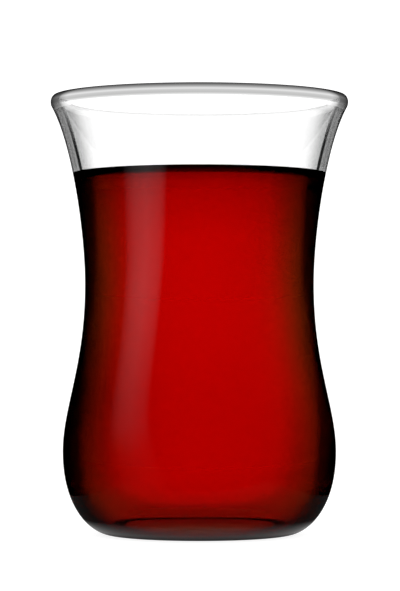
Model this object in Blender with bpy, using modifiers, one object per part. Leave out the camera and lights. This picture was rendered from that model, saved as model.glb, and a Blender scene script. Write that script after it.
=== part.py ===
# Turkish tea glass filled with tea, for Blender 4.5. Metres, +Z up.
# The origin is the middle of the foot, on the surface that the glass stands on.
# Both pieces are turned about Z from outlines in the XZ plane.

import math

import bpy
from mathutils import Vector
from mathutils.geometry import interpolate_bezier

# Whole glass
HEIGHT = 0.0822
TURN_STEPS = 60

# Foot: a flat ring round a shallow hollow
FOOT_RADIUS = 0.0165
FOOT_HOLLOW_RADIUS = 0.0128
FOOT_HOLLOW_DEPTH = 0.0007

# Belly, waist and flare of the outer side
BELLY_RADIUS = 0.0256
BELLY_HEIGHT = 0.0155
WAIST_RADIUS = 0.02145
WAIST_HEIGHT = 0.0467

# Lip: an upright oval in section, rounded in the flame
LIP_RADIUS = 0.02706
LIP_HALF_THICKNESS = 0.00085
LIP_HALF_HEIGHT = 0.0013

# How far each curve of the outline keeps the direction of its end
HEEL_REACH_OUT = 0.0039
HEEL_REACH_UP = 0.0105
BELLY_REACH = 0.0083
WAIST_REACH_DOWN = 0.0152
WAIST_REACH_UP = 0.0095
FLARE_REACH = 0.0081
FLOOR_REACH = 0.0170
BOWL_REACH = 0.0110

# Angles round the oval of the lip: its top, and where the two sides run into it
LIP_TOP_ANGLE = math.radians(90)
LIP_OUTER_ANGLE = math.radians(-40)
LIP_INNER_ANGLE = math.radians(142)

# Wall and floor thickness
WAIST_WALL = 0.0019
BELLY_WALL = 0.0023
FLOOR_THICKNESS = 0.0028

# Tea: a flat surface that climbs the wall by a small meniscus
TEA_LEVEL = 0.0668
MENISCUS_RISE = 0.0012
MENISCUS_WIDTH = 0.0026
TEA_GAP = 0.0003

# Points or steps on each curve of an outline
HEEL_POINTS = 8
BELLY_POINTS = 9
FLARE_POINTS = 11
LIP_INNER_STEPS = 3
LIP_OUTER_STEPS = 6
BOWL_POINTS = 9
HOLLOW_STEPS = 4
MENISCUS_STEPS = 4

UP = Vector((0.0, 0.0, 1.0))


def point(radius, height):
    """A point of an outline, at +X."""
    return Vector((radius, 0.0, height))


def lip_point(angle):
    """A point on the oval section of the lip, from the outer side over the top."""
    lip_height = HEIGHT - LIP_HALF_HEIGHT
    return point(LIP_RADIUS + LIP_HALF_THICKNESS * math.cos(angle),
                 lip_height + LIP_HALF_HEIGHT * math.sin(angle))


def lip_direction(angle):
    """The unit direction of the oval at an angle, with the angle growing."""
    return Vector((-LIP_HALF_THICKNESS * math.sin(angle), 0.0,
                   LIP_HALF_HEIGHT * math.cos(angle))).normalized()


def lip_arc(start_angle, end_angle, steps):
    """Points along the oval of the lip, with both ends."""
    sweep = end_angle - start_angle
    return [lip_point(start_angle + sweep * i / steps) for i in range(steps + 1)]


def lip_outline():
    """The lip from its inner side over the top to its outer side."""
    inner_half = lip_arc(LIP_INNER_ANGLE, LIP_TOP_ANGLE, LIP_INNER_STEPS)
    outer_half = lip_arc(LIP_TOP_ANGLE, LIP_OUTER_ANGLE, LIP_OUTER_STEPS)
    return inner_half + outer_half[1:]


def side_outline(wall_at_waist, wall_at_belly, lip_angle, down_direction):
    """One side of the wall from the lip down past the waist to the belly."""
    lip = lip_point(lip_angle)
    waist = point(WAIST_RADIUS - wall_at_waist, WAIST_HEIGHT)
    belly = point(BELLY_RADIUS - wall_at_belly, BELLY_HEIGHT)
    flare = interpolate_bezier(lip, lip + down_direction * FLARE_REACH,
                               waist + UP * WAIST_REACH_UP, waist, FLARE_POINTS)
    shoulder = interpolate_bezier(waist, waist - UP * WAIST_REACH_DOWN,
                                  belly + UP * BELLY_REACH, belly, BELLY_POINTS)
    return flare + shoulder[1:]


def outer_outline():
    """The outer side from the lip down to the edge of the foot."""
    side = side_outline(0.0, 0.0, LIP_OUTER_ANGLE, -lip_direction(LIP_OUTER_ANGLE))
    foot = point(FOOT_RADIUS, 0.0)
    heel = interpolate_bezier(side[-1], side[-1] - UP * HEEL_REACH_UP,
                              foot + point(HEEL_REACH_OUT, 0.0), foot, HEEL_POINTS)
    return side + heel[1:]


def inner_outline():
    """The inner side from the lip down to the middle of the floor."""
    side = side_outline(WAIST_WALL, BELLY_WALL, LIP_INNER_ANGLE, lip_direction(LIP_INNER_ANGLE))
    floor = point(0.0, FLOOR_THICKNESS)
    bowl = interpolate_bezier(side[-1], side[-1] - UP * BOWL_REACH,
                              floor + point(FLOOR_REACH, 0.0), floor, BOWL_POINTS)
    return side + bowl[1:]


def foot_outline():
    """The shallow hollow under the foot, from its edge in to the middle."""
    outline = []
    for i in range(HOLLOW_STEPS + 1):
        share = i / HOLLOW_STEPS
        outline.append(point(FOOT_HOLLOW_RADIUS * (1.0 - share),
                             FOOT_HOLLOW_DEPTH * math.sin(share * math.pi / 2.0)))
    return outline


def glass_outline():
    """The whole section of the glass: floor, inner side, lip, outer side and foot."""
    inner = inner_outline()
    outer = outer_outline()
    return inner[::-1] + lip_outline()[1:-1] + outer + foot_outline()


def wall_radius_at(outline, height):
    """The radius of a side, given from top to bottom, at a height."""
    for above, below in zip(outline, outline[1:]):
        if below.z <= height <= above.z:
            share = (height - below.z) / (above.z - below.z)
            return below.x + share * (above.x - below.x)
    raise ValueError("the outline does not reach this height")


def tea_wall_outline():
    """The side and bottom of the tea, set in from the glass by the gap."""
    contact_height = TEA_LEVEL + MENISCUS_RISE
    inner = inner_outline()
    outline = []
    for i, here in enumerate(inner[1:-1], start=1):
        along = (inner[i + 1] - inner[i - 1]).normalized()
        inward = Vector((along.z, 0.0, -along.x))
        outline.append(here + inward * TEA_GAP)
    outline.append(point(0.0, FLOOR_THICKNESS + TEA_GAP))
    contact = point(wall_radius_at(outline, contact_height), contact_height)
    return [contact] + [spot for spot in outline if spot.z < contact_height - TEA_GAP]


def tea_outline():
    """The section of the tea: flat surface, meniscus, side and bottom."""
    wall = tea_wall_outline()
    contact_radius = wall[0].x
    surface = [point(0.0, TEA_LEVEL)]
    for i in range(MENISCUS_STEPS):
        share = i / MENISCUS_STEPS
        surface.append(point(contact_radius - MENISCUS_WIDTH * (1.0 - share),
                             TEA_LEVEL + MENISCUS_RISE * share ** 2))
    return surface + wall


def turned_piece(name, outline, material, collection):
    """A solid turned about Z by a Screw modifier on its outline."""
    mesh = bpy.data.meshes.new(name)
    edges = [(i, i + 1) for i in range(len(outline) - 1)]
    mesh.from_pydata(outline, edges, [])
    mesh.materials.append(material)
    piece = bpy.data.objects.new(name, mesh)
    collection.objects.link(piece)

    screw = piece.modifiers.new("turn", "SCREW")
    screw.axis = "Z"
    screw.angle = 2.0 * math.pi
    screw.steps = TURN_STEPS
    screw.render_steps = TURN_STEPS
    screw.use_merge_vertices = True
    screw.merge_threshold = 0.00001
    screw.use_smooth_shade = True
    return piece


def clear_material(name, colour, roughness, ior, transmission):
    """A see-through Principled material."""
    material = bpy.data.materials.new(name)
    material.use_nodes = True
    shader = material.node_tree.nodes["Principled BSDF"]
    shader.inputs["Base Color"].default_value = (*colour, 1.0)
    shader.inputs["Metallic"].default_value = 0.0
    shader.inputs["Roughness"].default_value = roughness
    shader.inputs["IOR"].default_value = ior
    shader.inputs["Transmission Weight"].default_value = transmission
    return material


def remove_old_objects():
    """Empty the scene."""
    for old in list(bpy.data.objects):
        bpy.data.objects.remove(old, do_unlink=True)


def main():
    remove_old_objects()
    collection = bpy.data.collections.new("turkish_tea_glass")
    bpy.context.scene.collection.children.link(collection)

    clear_glass = clear_material("clear_glass", (0.95, 0.97, 0.97), 0.02, 1.52, 1.0)
    red_tea = clear_material("red_tea", (0.42, 0.01, 0.005), 0.04, 1.34, 0.6)

    turned_piece("glass", glass_outline(), clear_glass, collection)
    turned_piece("tea", tea_outline(), red_tea, collection)


main()
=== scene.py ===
import math

import bmesh
import bpy
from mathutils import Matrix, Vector
from mathutils.geometry import interpolate_bezier


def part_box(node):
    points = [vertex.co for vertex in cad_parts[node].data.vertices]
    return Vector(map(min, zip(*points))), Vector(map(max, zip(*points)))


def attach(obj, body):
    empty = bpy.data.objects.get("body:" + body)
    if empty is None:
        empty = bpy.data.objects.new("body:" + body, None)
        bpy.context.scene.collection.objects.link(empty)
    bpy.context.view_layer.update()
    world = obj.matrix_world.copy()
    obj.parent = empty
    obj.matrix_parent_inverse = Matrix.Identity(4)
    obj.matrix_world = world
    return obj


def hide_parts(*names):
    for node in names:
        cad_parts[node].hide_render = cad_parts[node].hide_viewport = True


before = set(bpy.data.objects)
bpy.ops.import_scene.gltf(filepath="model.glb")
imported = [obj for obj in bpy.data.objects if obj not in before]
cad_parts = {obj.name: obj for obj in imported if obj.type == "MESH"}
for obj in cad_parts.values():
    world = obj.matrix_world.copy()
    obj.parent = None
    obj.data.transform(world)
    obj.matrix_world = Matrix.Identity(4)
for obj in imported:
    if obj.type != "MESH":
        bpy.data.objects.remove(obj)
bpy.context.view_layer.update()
glass_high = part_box("glass")[1]

# Whole glass, read from the frame
HEIGHT = glass_high.z
RIM_RADIUS = glass_high.x

# Foot: a flat ring round a shallow hollow
FOOT_RADIUS = 0.0165
FOOT_HOLLOW_RADIUS = 0.0128
FOOT_HOLLOW_DEPTH = 0.0007

# Belly, waist and flare of the outer side
BELLY_RADIUS = 0.0256
BELLY_HEIGHT = 0.0155
WAIST_RADIUS = 0.02145
WAIST_HEIGHT = 0.0467

# Lip: an upright oval in section, rounded in the flame
LIP_HALF_THICKNESS = 0.00085
LIP_HALF_HEIGHT = 0.0013
LIP_RADIUS = RIM_RADIUS - LIP_HALF_THICKNESS
LIP_OUTER_ANGLE = math.radians(-40)
LIP_INNER_ANGLE = math.radians(142)
LIP_LOW = HEIGHT - 0.0022

# How far each curve of the outline keeps the direction of its end
HEEL_REACH_OUT = 0.0039
HEEL_REACH_UP = 0.0105
BELLY_REACH = 0.0083
WAIST_REACH_DOWN = 0.0152
WAIST_REACH_UP = 0.0095
FLARE_REACH = 0.0081
FLOOR_REACH = 0.0170
BOWL_REACH = 0.0110

# Wall and floor thickness
WAIST_WALL = 0.0019
BELLY_WALL = 0.0023
FLOOR_THICKNESS = 0.0028

# Tea: a flat surface with a small meniscus, and sides that reach just into the wall
TEA_LEVEL = 0.0668
MENISCUS_RISE = 0.0012
MENISCUS_WIDTH = 0.0026
CONTACT_HEIGHT = TEA_LEVEL + MENISCUS_RISE
TEA_OVERLAP = 0.00006

# Fineness of the turned meshes
TURN_STEPS = 180
FLARE_POINTS = 40
SHOULDER_POINTS = 36
HEEL_POINTS = 30
BOWL_POINTS = 30
LIP_STEPS = 26
HOLLOW_STEPS = 8
MENISCUS_STEPS = 12
SURFACE_STEPS = 6
WELD_DISTANCE = 0.000001
SHARP_ANGLE = math.radians(35)

# Finishes of the glass and of the tea, by their place in each list of materials
GLASS_OUTSIDE, GLASS_UNDERSIDE, GLASS_INSIDE, GLASS_WET, LIP_OUTSIDE, LIP_INSIDE = range(6)
TEA_SIDE, TEA_TOP, TEA_MENISCUS = range(3)
FINISHES = 6

# Optics of glass and tea
GLASS_IOR = 1.52
TEA_IOR = 1.33
TEA_COLOUR = (0.9124, 0.10, 0.0)
TEA_DENSITY = 185.0

# Share of a lamp's light that shines straight through
LAMP_SHARE = 0.97

# Radiance of the white studio
WHITE = 1.28

# Table: a wide one, and a small middle that shows in reflections. Half widths and heights
TABLE_HALF = 3.0
TABLE_HEIGHT = -0.00015
TABLE_MIDDLE_HALF = 0.04
TABLE_MIDDLE_HEIGHT = -0.0001
TABLE_GLOW = 0.7

# Soft box at the left: its place, size and lean, and its brightness across and up the card
SOFT_BOX_AZIMUTH = math.radians(-56.0)
SOFT_BOX_DISTANCE = 0.7
SOFT_BOX_WIDTH = 0.56
SOFT_BOX_LEAN = 0.45
SOFT_BOX_LOW = -0.6
SOFT_BOX_HIGH = 0.95
SOFT_BOX_RADIANCE = 1.1
SOFT_BOX_ACROSS = ((0.0, 0.0), (0.3, 0.75), (0.55, 1.0), (0.85, 0.6), (1.0, 0.0))
SOFT_BOX_UP = ((0.0, 0.54), (0.31, 0.54), (0.43, 0.63), (0.52, 0.54), (0.6, 0.45), (1.0, 0.4))

# Camera: nearly level with the lower half of the glass, and far enough away to be nearly flat
CAMERA_SENSOR = 36.0
CAMERA_LENS = 158.4
CAMERA_CLIP = 0.01
CAMERA_PLACE = (0.0, -0.488, 0.0379)
CAMERA_AIM = (0.00011, 0.0, 0.0447)

# How often a ray may pass or be mirrored
BOUNCES = 24
MIRROR_BOUNCES = 12

# Blend at which the Layer Weight is 1 less the cosine of a face's turn from the view
TURN_BLEND = 0.5

# Painted shade: share of the light that the outer glass passes, by how far it turns from the view
GLASS_EDGE_PAINTED_SHADE = ((0.36, 0.95), (0.44, 0.84), (0.49, 0.71), (0.54, 0.55), (0.60, 0.45), (0.69, 0.49),
              (0.75, 0.40), (0.82, 0.62), (0.89, 0.22), (0.94, 0.03), (1.0, 0.01))

# The same painted shade for the heel, and how far the heel's painted shades count, by height
HEEL_EDGE_PAINTED_SHADE = ((0.36, 1.0), (0.44, 0.65), (0.53, 0.22), (0.62, 0.05), (0.75, 0.02))
HEEL_PAINTED_SHADE_SHARE = ((0.006, 1.0), (0.010, 0.0))

# Brightness of what the outer side mirrors, by height: full from the waist up, faint at the
# belly, and a little more at the foot, where the table shows
GLASS_GLOSS = ((0.0003, 0.08), (0.0010, 0.35), (0.0017, 0.30), (0.0030, 0.02), (0.008, 0.02),
               (0.016, 0.10), (0.021, 0.33), (0.025, 0.50), (0.033, 0.75), (0.045, 1.0))

# Brightness of what the inner faces mirror, by height
GLASS_MIRROR = ((0.0660, 0.9), (0.0690, 0.56))
TEA_MIRROR = ((0.0668, 1.0), (0.06685, 0.45))

# Colour of what the wetted glass mirrors where little light passes it, and the power that
# keeps this to grazing angles
WET_MIRROR = (0.30, 0.04, 0.02)
WET_MIRROR_POWER = 3.0

# Painted colour of the light that leaves through the underside
UNDERSIDE_PAINTED_TINT = (0.90, 0.70, 0.65)

# Painted dark line on the inner side, at a small range of its turn from the view, and how far
# it fades toward the lip, by height
PAINTED_INNER_LINE = ((0.238, 1.0), (0.242, 0.04), (0.251, 0.04), (0.255, 1.0))
PAINTED_LINE_FADE = ((0.0722, 0.0), (0.0758, 0.2), (0.0790, 0.6))

# Painted shade on the lip, as the share of the light it passes: outside by height and by turn
# from the view, and inside by height
LIP_PAINTED_BANDS = ((0.0800, 0.70), (0.0804, 0.42), (0.0808, 0.46), (0.0811, 0.63), (0.0815, 0.31),
             (0.0819, 0.10), (0.0822, 0.03))
LIP_EDGE_PAINTED_SHADE = ((0.55, 1.0), (0.64, 0.6), (0.68, 0.25), (0.80, 0.13), (0.92, 0.02), (1.0, 0.0))
LIP_INNER_PAINTED_BANDS = ((0.0812, 1.0), (0.0818, 0.85), (0.0822, 0.6))

# How far the lip's painted shades count on the outer side just below it, by height
LIP_PAINTED_SHADE_SHARE = ((0.0783, 0.0), (0.0797, 1.0))

# Painted shade on the side of the tea: the share of the light it passes, by its turn from the view
TEA_EDGE_PAINTED_SHADE = (
    (0.00, (0.80, 0.20, 0.20)),
    (0.06, (0.67, 0.35, 0.20)),
    (0.105, (0.55, 0.60, 0.20)),
    (0.16, (0.30, 0.80, 0.15)),
    (0.20, (0.20, 0.80, 0.10)),
    (0.235, (0.14, 0.70, 0.10)),
    (0.265, (0.03, 0.10, 0.03)),
    (0.33, (0.002, 0.002, 0.002)),
)

# Factor on that turn, at most and as a share by height: the painted dark edge is wide near the
# surface
TEA_PAINTED_EDGE_WIDEST = 2.0
TEA_PAINTED_EDGE_SPREAD = ((0.0055, 0.24), (0.0085, 0.45), (0.012, 0.575), (0.016, 0.575), (0.030, 0.485),
              (0.040, 0.48), (0.050, 0.53), (0.060, 0.58), (0.0635, 0.62))

# Painted light: how much more light passes at the right than at the left, at most and as a share
# by height
TEA_PAINTED_LIGHT_LEAN = 1.25
TEA_PAINTED_LIGHT_LEAN_SHARE = ((0.008, 0.1), (0.027, 1.0), (0.058, 0.0))

# Painted shade at the bottom of the tea: the share of the light it passes, and how far it counts,
# by height
TEA_BOTTOM_PAINTED_SHADE = (0.18, 0.08, 0.05)
TEA_BOTTOM_PAINTED_SHADE_SHARE = ((0.0050, 1.0), (0.0078, 0.0))

# Painted shade on the side of the tea, by height: it darkens up to the surface
TEA_PAINTED_SHADE_BY_HEIGHT = ((0.055, 1.0), (0.0615, 0.85), (0.0637, 0.77), (0.0651, 0.66), (0.0661, 0.48),
             (0.0669, 0.38), (0.0672, 0.20), (0.0675, 0.03))

# Ray depth above which the side of the tea has no painted shade
PAINTED_SHADE_RAY_DEPTH = 1.5

UP = Vector((0.0, 0.0, 1.0))


def point(radius, height):
    """A point of an outline, at +X."""
    return Vector((radius, 0.0, height))


def lip_point(angle):
    """A point on the oval section of the lip, from the outer side over the top."""
    lip_height = HEIGHT - LIP_HALF_HEIGHT
    return point(LIP_RADIUS + LIP_HALF_THICKNESS * math.cos(angle),
                 lip_height + LIP_HALF_HEIGHT * math.sin(angle))


def lip_direction(angle):
    """The unit direction of the oval at an angle, with the angle growing."""
    return Vector((-LIP_HALF_THICKNESS * math.sin(angle), 0.0,
                   LIP_HALF_HEIGHT * math.cos(angle))).normalized()


def lip_outline():
    """The lip from its inner side over the top to its outer side."""
    sweep = LIP_OUTER_ANGLE - LIP_INNER_ANGLE
    return [lip_point(LIP_INNER_ANGLE + sweep * i / LIP_STEPS) for i in range(LIP_STEPS + 1)]


def side_outline(wall_at_waist, wall_at_belly, lip_angle, down_direction):
    """One side of the wall from the lip down past the waist to the belly."""
    lip = lip_point(lip_angle)
    waist = point(WAIST_RADIUS - wall_at_waist, WAIST_HEIGHT)
    belly = point(BELLY_RADIUS - wall_at_belly, BELLY_HEIGHT)
    flare = interpolate_bezier(lip, lip + down_direction * FLARE_REACH,
                               waist + UP * WAIST_REACH_UP, waist, FLARE_POINTS)
    shoulder = interpolate_bezier(waist, waist - UP * WAIST_REACH_DOWN,
                                  belly + UP * BELLY_REACH, belly, SHOULDER_POINTS)
    return flare + shoulder[1:]


def outer_outline():
    """The outer side from the lip down to the edge of the foot."""
    side = side_outline(0.0, 0.0, LIP_OUTER_ANGLE, -lip_direction(LIP_OUTER_ANGLE))
    foot = point(FOOT_RADIUS, 0.0)
    heel = interpolate_bezier(side[-1], side[-1] - UP * HEEL_REACH_UP,
                              foot + point(HEEL_REACH_OUT, 0.0), foot, HEEL_POINTS)
    return with_point_at(side + heel[1:], LIP_LOW)


def inner_outline():
    """The inner side from the lip down to the middle of the floor."""
    side = side_outline(WAIST_WALL, BELLY_WALL, LIP_INNER_ANGLE, lip_direction(LIP_INNER_ANGLE))
    floor = point(0.0, FLOOR_THICKNESS)
    bowl = interpolate_bezier(side[-1], side[-1] - UP * BOWL_REACH,
                              floor + point(FLOOR_REACH, 0.0), floor, BOWL_POINTS)
    return with_point_at(with_point_at(side + bowl[1:], LIP_LOW), CONTACT_HEIGHT)


def foot_outline():
    """The shallow hollow under the foot, from its edge in to the middle."""
    outline = []
    for i in range(HOLLOW_STEPS + 1):
        share = i / HOLLOW_STEPS
        outline.append(point(FOOT_HOLLOW_RADIUS * (1.0 - share),
                             FOOT_HOLLOW_DEPTH * math.sin(share * math.pi / 2.0)))
    return outline


def radius_at(outline, height):
    """The radius of a side, given from top to bottom, at a height."""
    for above, below in zip(outline, outline[1:]):
        if below.z <= height <= above.z:
            share = (height - below.z) / (above.z - below.z)
            return below.x + share * (above.x - below.x)
    raise ValueError("the outline does not reach this height")


def with_point_at(outline, height):
    """A side, given from top to bottom, with one more point at a height."""
    above = [spot for spot in outline if spot.z > height + WELD_DISTANCE]
    below = [spot for spot in outline if spot.z < height - WELD_DISTANCE]
    return above + [point(radius_at(outline, height), height)] + below


def inner_finish(height):
    """The finish of the inner side at a height."""
    if height > LIP_LOW:
        return LIP_INSIDE
    return GLASS_INSIDE if height > CONTACT_HEIGHT else GLASS_WET


def glass_outline():
    """The section of the glass, and the finish of each stretch between its points."""
    inner = inner_outline()[::-1]
    lip = lip_outline()
    outer = outer_outline()
    foot = foot_outline()
    finishes = [inner_finish((here.z + after.z) / 2.0) for here, after in zip(inner, inner[1:])]
    finishes += [LIP_OUTSIDE if here.x + after.x > 2.0 * LIP_RADIUS else LIP_INSIDE
                 for here, after in zip(lip, lip[1:])]
    finishes += [LIP_OUTSIDE if here.z + after.z > 2.0 * LIP_LOW else GLASS_OUTSIDE
                 for here, after in zip(outer, outer[1:])]
    finishes += [GLASS_UNDERSIDE] * len(foot)
    return inner + lip[1:-1] + outer + foot, finishes


def tea_wall_outline():
    """The side and bottom of the tea, from the contact line down to the middle."""
    inner = inner_outline()
    outline = []
    for i, here in enumerate(inner[1:-1], start=1):
        along = (inner[i + 1] - inner[i - 1]).normalized()
        outward = Vector((-along.z, 0.0, along.x))
        outline.append(here + outward * TEA_OVERLAP)
    outline.append(point(0.0, FLOOR_THICKNESS - TEA_OVERLAP))
    contact = point(radius_at(outline, CONTACT_HEIGHT), CONTACT_HEIGHT)
    return [contact] + [spot for spot in outline if spot.z < CONTACT_HEIGHT - TEA_OVERLAP]


def tea_outline():
    """The section of the tea, and the finish of each stretch between its points."""
    wall = tea_wall_outline()
    meniscus_start = wall[0].x - MENISCUS_WIDTH
    surface = [point(meniscus_start * i / SURFACE_STEPS, TEA_LEVEL) for i in range(SURFACE_STEPS)]
    for i in range(MENISCUS_STEPS):
        share = i / MENISCUS_STEPS
        surface.append(point(meniscus_start + MENISCUS_WIDTH * share,
                             TEA_LEVEL + MENISCUS_RISE * share ** 2))
    finishes = ([TEA_TOP] * SURFACE_STEPS + [TEA_MENISCUS] * MENISCUS_STEPS
                + [TEA_SIDE] * (len(wall) - 1))
    return surface + wall, finishes


def add_node(tree, kind, inputs=None, **settings):
    """A node with its settings, and with its inputs as values or links."""
    made = tree.nodes.new(kind)
    for name, value in settings.items():
        setattr(made, name, value)
    for key, value in (inputs or {}).items():
        if isinstance(value, bpy.types.NodeSocket):
            tree.links.new(value, made.inputs[key])
        else:
            made.inputs[key].default_value = value
    return made


def maths(tree, operation, first, second=0.0):
    """The result of one sum on values or sockets."""
    return add_node(tree, "ShaderNodeMath", {0: first, 1: second}, operation=operation).outputs[0]


def turning_tree():
    """A node tree that turns an outline about Z and gives each stretch of it its finish."""
    tree = bpy.data.node_groups.new("turn_outline", "GeometryNodeTree")
    sockets = [("Outline", "NodeSocketGeometry"), ("Turn Steps", "NodeSocketInt"),
               ("Weld Distance", "NodeSocketFloat")]
    sockets += [(f"Finish {number}", "NodeSocketMaterial") for number in range(FINISHES)]
    for name, kind in sockets:
        tree.interface.new_socket(name, in_out="INPUT", socket_type=kind)
    tree.interface.new_socket("Geometry", in_out="OUTPUT", socket_type="NodeSocketGeometry")
    given = add_node(tree, "NodeGroupInput").outputs
    index = add_node(tree, "GeometryNodeInputIndex").outputs[0]

    def rows_and_columns(width):
        row = maths(tree, "FLOOR", maths(tree, "DIVIDE", index, width))
        return row, maths(tree, "SUBTRACT", index, maths(tree, "MULTIPLY", row, width))

    # One row of grid points for each step of the turn, and one column for each outline point
    size = add_node(tree, "GeometryNodeAttributeDomainSize", {"Geometry": given["Outline"]},
                    component="MESH")
    points = size.outputs["Point Count"]
    rows = maths(tree, "ADD", given["Turn Steps"], 1.0)
    grid = add_node(tree, "GeometryNodeMeshGrid", {"Vertices X": rows, "Vertices Y": points})
    step, column = rows_and_columns(points)
    angle = maths(tree, "DIVIDE", maths(tree, "MULTIPLY", step, 2.0 * math.pi),
                  given["Turn Steps"])

    # Each point takes the radius and height of its outline point
    position = add_node(tree, "GeometryNodeInputPosition").outputs[0]
    spot = add_node(tree, "GeometryNodeSampleIndex", data_type="FLOAT_VECTOR", domain="POINT",
                    inputs={"Geometry": given["Outline"], "Value": position,
                            "Index": maths(tree, "ROUND", column)})
    split = add_node(tree, "ShaderNodeSeparateXYZ", {0: spot.outputs[0]}).outputs
    across = maths(tree, "MULTIPLY", split["X"], maths(tree, "COSINE", angle))
    along = maths(tree, "MULTIPLY", split["X"], maths(tree, "SINE", angle))
    place = add_node(tree, "ShaderNodeCombineXYZ", {"X": across, "Y": along, "Z": split["Z"]})
    turned = add_node(tree, "GeometryNodeSetPosition",
                      {"Geometry": grid.outputs["Mesh"], "Position": place.outputs[0]})
    realized = add_node(tree, "GeometryNodeRealizeInstances", {"Geometry": turned.outputs[0]})

    # Each face takes the finish of its stretch, while the faces are still in the grid's order
    row, stretch = rows_and_columns(maths(tree, "SUBTRACT", points, 1.0))
    named = add_node(tree, "GeometryNodeInputNamedAttribute", {"Name": "finish"}, data_type="INT")
    finish = add_node(tree, "GeometryNodeSampleIndex", data_type="INT", domain="EDGE",
                      inputs={"Geometry": given["Outline"], "Value": named.outputs[0],
                              "Index": maths(tree, "ROUND", stretch)})
    coated = realized.outputs[0]
    for number in range(FINISHES):
        chosen = maths(tree, "GREATER_THAN", finish.outputs[0], number - 0.5)
        coated = add_node(tree, "GeometryNodeSetMaterial",
                          {"Geometry": coated, "Selection": chosen,
                           "Material": given[f"Finish {number}"]}).outputs[0]

    # The seam and the poles are welded
    weld = add_node(tree, "GeometryNodeMergeByDistance",
                    {"Geometry": coated, "Distance": given["Weld Distance"]})
    smooth = add_node(tree, "GeometryNodeSetShadeSmooth", {"Geometry": weld.outputs[0]})
    add_node(tree, "NodeGroupOutput", {"Geometry": smooth.outputs[0]})
    return tree


def input_key(tree, name):
    """The identifier of a tree's named input."""
    return next(item.identifier for item in tree.interface.items_tree
                if item.name == name and item.in_out == "INPUT")


def turned_piece(name, outline, finishes, tree, materials):
    """A closed mesh turned from an outline by the node tree."""
    section = bpy.data.meshes.new(name + "_section")
    section.from_pydata(outline, [(i, i + 1) for i in range(len(outline) - 1)], [])
    section.attributes.new("finish", "INT", "EDGE").data.foreach_set("value", finishes)
    guide = bpy.data.objects.new(name + "_section", section)
    bpy.context.scene.collection.objects.link(guide)
    turn = guide.modifiers.new("turn", "NODES")
    turn.node_group = tree
    turn[input_key(tree, "Turn Steps")] = TURN_STEPS
    turn[input_key(tree, "Weld Distance")] = WELD_DISTANCE
    for number, material in enumerate(materials):
        turn[input_key(tree, f"Finish {number}")] = material
    evaluated = guide.evaluated_get(bpy.context.evaluated_depsgraph_get())
    mesh = bpy.data.meshes.new_from_object(evaluated)
    bpy.data.objects.remove(guide, do_unlink=True)

    work = bmesh.new()
    work.from_mesh(mesh)
    bmesh.ops.remove_doubles(work, verts=work.verts, dist=WELD_DISTANCE)
    bmesh.ops.recalc_face_normals(work, faces=work.faces)
    work.to_mesh(mesh)
    work.free()
    mesh.set_sharp_from_angle(angle=SHARP_ANGLE)
    mesh.name = name
    piece = bpy.data.objects.new(name, mesh)
    bpy.context.scene.collection.objects.link(piece)
    return piece


def new_material(name):
    """An empty node material and its node tree."""
    material = bpy.data.materials.new(name)
    material.use_nodes = True
    material.node_tree.nodes.clear()
    return material, material.node_tree


def grey(value):
    """A grey as the colour of a socket."""
    return (value, value, value, 1.0)


def mixed(tree, factor, first, second, blend="MIX"):
    """Two colours mixed by a factor."""
    return add_node(tree, "ShaderNodeMix", data_type="RGBA", blend_type=blend,
                    inputs={"Factor": factor, "A": first, "B": second}).outputs["Result"]


def by_table(tree, value, table):
    """The shade that a table gives for a value, from its stops of value and shade."""
    first, last = table[0][0], table[-1][0]
    scaled = add_node(tree, "ShaderNodeMapRange",
                      {"Value": value, "From Min": first, "From Max": last})
    ramp = add_node(tree, "ShaderNodeValToRGB", {"Fac": scaled.outputs[0]})
    stops = ramp.color_ramp.elements
    while len(stops) < len(table):
        stops.new(1.0)
    for stop, (place, shade) in zip(stops, table):
        stop.position = (place - first) / (last - first)
        stop.color = (*shade, 1.0) if isinstance(shade, tuple) else grey(shade)
    return ramp.outputs["Color"]


def turn_from_view(tree):
    """How far a face turns from the view, from 0 to 1."""
    return add_node(tree, "ShaderNodeLayerWeight", {"Blend": TURN_BLEND}).outputs["Facing"]


def place_of(tree, axis):
    """Where a spot lies along an axis of the piece."""
    place = add_node(tree, "ShaderNodeTexCoord").outputs["Object"]
    return add_node(tree, "ShaderNodeSeparateXYZ", {0: place}).outputs[axis]


def painted_edge_shade(tree):
    """Painted shade: the outer side of the glass darkens toward its outline, and more at the heel
    and the lip.
    """
    turn = turn_from_view(tree)
    height = place_of(tree, "Z")
    shade = mixed(tree, by_table(tree, height, HEEL_PAINTED_SHADE_SHARE),
                  by_table(tree, turn, GLASS_EDGE_PAINTED_SHADE), by_table(tree, turn, HEEL_EDGE_PAINTED_SHADE))
    return mixed(tree, by_table(tree, height, LIP_PAINTED_SHADE_SHARE), shade, by_table(tree, turn, LIP_EDGE_PAINTED_SHADE))


def painted_inner_line(tree):
    """The inner side has a fine painted dark line along the glass, which fades toward the lip."""
    fade = by_table(tree, place_of(tree, "Z"), PAINTED_LINE_FADE)
    return mixed(tree, fade, by_table(tree, turn_from_view(tree), PAINTED_INNER_LINE), grey(1.0))


def painted_underside_shade(tree):
    """The light leaving the underside is painted a warm grey all over."""
    return (*UNDERSIDE_PAINTED_TINT, 1.0)


def painted_lip_shade(tree):
    """The bead of the lip is painted grey in bands of shade, with a painted dark crest."""
    return mixed(tree, 1.0, by_table(tree, place_of(tree, "Z"), LIP_PAINTED_BANDS),
                 by_table(tree, turn_from_view(tree), LIP_EDGE_PAINTED_SHADE), "MULTIPLY")


def painted_lip_inner_line(tree):
    """The inner side of the lip has a faint painted shade line along its crest."""
    return by_table(tree, place_of(tree, "Z"), LIP_INNER_PAINTED_BANDS)


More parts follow.
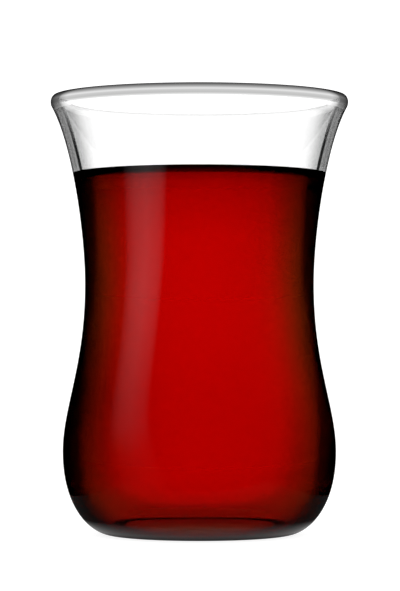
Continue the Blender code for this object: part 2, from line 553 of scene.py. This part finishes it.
def painted_tea_shade(tree):
    """Painted shade: the side of the tea darkens toward its outline and just below its surface."""
    height = place_of(tree, "Z")
    spread = maths(tree, "MULTIPLY", by_table(tree, height, TEA_PAINTED_EDGE_SPREAD), TEA_PAINTED_EDGE_WIDEST)
    turn = maths(tree, "MULTIPLY", turn_from_view(tree), spread)
    shade = mixed(tree, 1.0, by_table(tree, turn, TEA_EDGE_PAINTED_SHADE),
                  by_table(tree, height, TEA_PAINTED_SHADE_BY_HEIGHT), "MULTIPLY")

    # Painted light: the right side is a little lighter than the left, the more so toward the
    # outline
    sideways = maths(tree, "DIVIDE", place_of(tree, "X"), BELLY_RADIUS)
    cubed = maths(tree, "MULTIPLY", sideways, maths(tree, "MULTIPLY", sideways, sideways))
    lean = maths(tree, "MULTIPLY", by_table(tree, height, TEA_PAINTED_LIGHT_LEAN_SHARE), TEA_PAINTED_LIGHT_LEAN)
    gain = maths(tree, "ADD", maths(tree, "MULTIPLY", lean, cubed), 1.0)
    shade = mixed(tree, 1.0, shade, gain, "MULTIPLY")
    # Painted shade toward the bottom of the tea
    bottom = by_table(tree, height, TEA_BOTTOM_PAINTED_SHADE_SHARE)
    shade = mixed(tree, bottom, shade, (*TEA_BOTTOM_PAINTED_SHADE, 1.0))

    # The painted shade acts only where the view first enters, or the tea would be black from above
    depth = add_node(tree, "ShaderNodeLightPath").outputs["Ray Depth"]
    return mixed(tree, maths(tree, "GREATER_THAN", depth, PAINTED_SHADE_RAY_DEPTH), shade, grey(1.0))


def with_mirror(tree, surface, colour, share):
    """A surface that mirrors a share of the light."""
    mirror = add_node(tree, "ShaderNodeBsdfGlossy", {"Color": colour, "Roughness": 0.0})
    return add_node(tree, "ShaderNodeMixShader",
                    {0: share, 1: surface, 2: mirror.outputs[0]}).outputs[0]


def with_lamp_light(tree, surface):
    """The surface as the material's output, with lamps shining straight through it."""
    lamp = add_node(tree, "ShaderNodeBsdfTransparent", {"Color": grey(LAMP_SHARE)}).outputs[0]
    shadow_ray = add_node(tree, "ShaderNodeLightPath").outputs["Is Shadow Ray"]
    lit = add_node(tree, "ShaderNodeMixShader", {0: shadow_ray, 1: surface, 2: lamp})
    add_node(tree, "ShaderNodeOutputMaterial", {"Surface": lit.outputs[0]})


def wetted_finish(name):
    """The glass where the tea wets it: clear, and a dim brown mirror at grazing angles."""
    material, tree = new_material(name)
    surface = add_node(tree, "ShaderNodeBsdfRefraction",
                       {"Color": grey(1.0), "Roughness": 0.0, "IOR": GLASS_IOR}).outputs[0]
    fresnel = add_node(tree, "ShaderNodeFresnel", {"IOR": GLASS_IOR}).outputs[0]
    share = maths(tree, "POWER", fresnel, WET_MIRROR_POWER)
    with_lamp_light(tree, with_mirror(tree, surface, (*WET_MIRROR, 1.0), share))
    return material


def clear_finish(name, ior, painted_shade=None, leaving=None, gloss=None, inside=None):
    """Refraction, and a mirror that shares the light with it by Fresnel.

    The painted shade colours what the outer face passes, and leaving, also a painted shade, what
    the inner face passes.
    The gloss and inside tables dim, by height, what the outer and the inner face mirror.
    Without an inside table nothing is mirrored.
    """
    material, tree = new_material(name)
    facing = add_node(tree, "ShaderNodeNewGeometry").outputs["Backfacing"]
    passed = painted_shade(tree) if painted_shade else grey(1.0)
    left = leaving(tree) if leaving else grey(1.0)
    colour = mixed(tree, facing, passed, left) if painted_shade or leaving else grey(1.0)
    surface = add_node(tree, "ShaderNodeBsdfRefraction",
                       {"Color": colour, "Roughness": 0.0, "IOR": ior}).outputs[0]

    # The inner face mirrors the square of the share, so that no veil lies over what is behind
    if inside:
        height = place_of(tree, "Z")
        shine = by_table(tree, height, gloss) if gloss else grey(1.0)
        dim = mixed(tree, 1.0, left, by_table(tree, height, inside), "MULTIPLY")
        fresnel = add_node(tree, "ShaderNodeFresnel", {"IOR": ior}).outputs[0]
        share = maths(tree, "POWER", fresnel, maths(tree, "ADD", facing, 1.0))
        surface = with_mirror(tree, surface, mixed(tree, facing, shine, dim), share)
    with_lamp_light(tree, surface)
    return material


def tea_finish(name, painted_shade=None, inside=None):
    """A finish of the tea, whose red deepens with the way through it."""
    material = clear_finish(name, TEA_IOR, painted_shade=painted_shade, inside=inside)
    tree = material.node_tree
    volume = add_node(tree, "ShaderNodeVolumeAbsorption",
                      {"Color": (*TEA_COLOUR, 1.0), "Density": TEA_DENSITY})
    output = next(node for node in tree.nodes if node.type == "OUTPUT_MATERIAL")
    tree.links.new(volume.outputs[0], output.inputs["Volume"])
    return material


def card(name, corners, material):
    """One rectangle of the stage, with its own UV from 0 to 1."""
    mesh = bpy.data.meshes.new(name)
    mesh.from_pydata(corners, [], [(0, 1, 2, 3)])
    uv = mesh.uv_layers.new(name="card")
    for corner, place in zip(uv.data, ((0, 0), (1, 0), (1, 1), (0, 1))):
        corner.uv = place
    mesh.materials.append(material)
    made = bpy.data.objects.new(name, mesh)
    bpy.context.scene.collection.objects.link(made)
    return made


def white_table():
    """A wide plain floor of opal white just under the foot, lit from below as well."""
    material, tree = new_material("table_white")
    matt = add_node(tree, "ShaderNodeBsdfDiffuse", {"Color": grey(1.0)}).outputs[0]
    glow = add_node(tree, "ShaderNodeEmission", {"Strength": WHITE}).outputs[0]
    opal = add_node(tree, "ShaderNodeMixShader", {0: TABLE_GLOW, 1: matt, 2: glow}).outputs[0]
    add_node(tree, "ShaderNodeOutputMaterial", {"Surface": opal})

    # Only the middle of the table shows in reflections
    for name, half, height in (("table", TABLE_HALF, TABLE_HEIGHT),
                               ("table_middle", TABLE_MIDDLE_HALF, TABLE_MIDDLE_HEIGHT)):
        corners = [(-half, -half, height), (half, -half, height),
                   (half, half, height), (-half, half, height)]
        card(name, corners, material).visible_glossy = name == "table_middle"


def studio_surround():
    """White all round for what shows through the glass, and dark for what it mirrors."""
    world = bpy.data.worlds.new("studio")
    bpy.context.scene.world = world
    world.use_nodes = True
    world.node_tree.nodes.clear()
    white = add_node(world.node_tree, "ShaderNodeBackground",
                     {"Color": grey(1.0), "Strength": WHITE})
    add_node(world.node_tree, "ShaderNodeOutputWorld", {"Surface": white.outputs[0]})
    world.cycles_visibility.glossy = False


def left_soft_box():
    """A tall leaning card that only the reflections show."""
    material, tree = new_material("left_soft_box")
    place = add_node(tree, "ShaderNodeUVMap", uv_map="card").outputs[0]
    split = add_node(tree, "ShaderNodeSeparateXYZ", {0: place}).outputs
    shade = mixed(tree, 1.0, by_table(tree, split["X"], SOFT_BOX_ACROSS),
                  by_table(tree, split["Y"], SOFT_BOX_UP), "MULTIPLY")
    glow = add_node(tree, "ShaderNodeEmission", {"Color": shade, "Strength": SOFT_BOX_RADIANCE})
    add_node(tree, "ShaderNodeOutputMaterial", {"Surface": glow.outputs[0]})

    across = Vector((math.cos(SOFT_BOX_AZIMUTH), math.sin(SOFT_BOX_AZIMUTH), 0.0))
    outward = Vector((math.sin(SOFT_BOX_AZIMUTH), -math.cos(SOFT_BOX_AZIMUTH), 0.0))
    corners = []
    for side, height in ((-1, SOFT_BOX_LOW), (1, SOFT_BOX_LOW), (1, SOFT_BOX_HIGH),
                         (-1, SOFT_BOX_HIGH)):
        sideways = SOFT_BOX_WIDTH * side / 2.0 - SOFT_BOX_LEAN * height
        corners.append(outward * SOFT_BOX_DISTANCE + across * sideways + UP * height)
    made = card("left_soft_box", corners, material)
    made.visible_camera = False
    made.visible_diffuse = False
    made.visible_transmission = False
    made.visible_shadow = False


def add_camera():
    """The photograph's view."""
    data = bpy.data.cameras.new("camera")
    data.sensor_width = CAMERA_SENSOR
    data.lens = CAMERA_LENS
    data.clip_start = CAMERA_CLIP
    camera = bpy.data.objects.new("camera", data)
    bpy.context.scene.collection.objects.link(camera)
    camera.location = CAMERA_PLACE
    aim = Vector(CAMERA_AIM) - camera.location
    camera.rotation_euler = aim.to_track_quat("-Z", "Y").to_euler()
    bpy.context.scene.camera = camera


def main():
    scene = bpy.context.scene
    scene.view_settings.view_transform = "Standard"
    scene.cycles.max_bounces = BOUNCES
    scene.cycles.transmission_bounces = BOUNCES
    scene.cycles.glossy_bounces = MIRROR_BOUNCES
    scene.cycles.transparent_max_bounces = BOUNCES
    scene.cycles.caustics_reflective = False
    scene.cycles.caustics_refractive = False

    add_camera()
    studio_surround()
    white_table()
    left_soft_box()

    tree = turning_tree()
    glass_materials = [
        clear_finish("glass_outside", GLASS_IOR, painted_edge_shade, gloss=GLASS_GLOSS,
                     inside=GLASS_MIRROR),
        clear_finish("glass_underside", 1.0, leaving=painted_underside_shade),
        clear_finish("glass_inside", GLASS_IOR, leaving=painted_inner_line, inside=GLASS_MIRROR),
        wetted_finish("glass_wet"),
        clear_finish("lip_outside", 1.0, painted_lip_shade),
        clear_finish("lip_inside", 1.0, painted_lip_inner_line),
    ]
    tea_materials = [
        tea_finish("tea_side", painted_tea_shade),
        tea_finish("tea_top", inside=TEA_MIRROR),
        tea_finish("tea_meniscus", inside=TEA_MIRROR),
    ]
    glass = turned_piece("clear_tea_glass", *glass_outline(), tree, glass_materials)
    tea = turned_piece("steeped_tea", *tea_outline(), tree, tea_materials)
    bpy.data.node_groups.remove(tree)

    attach(glass, "root")
    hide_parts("glass")
    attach(tea, "root")
    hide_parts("tea")


main()
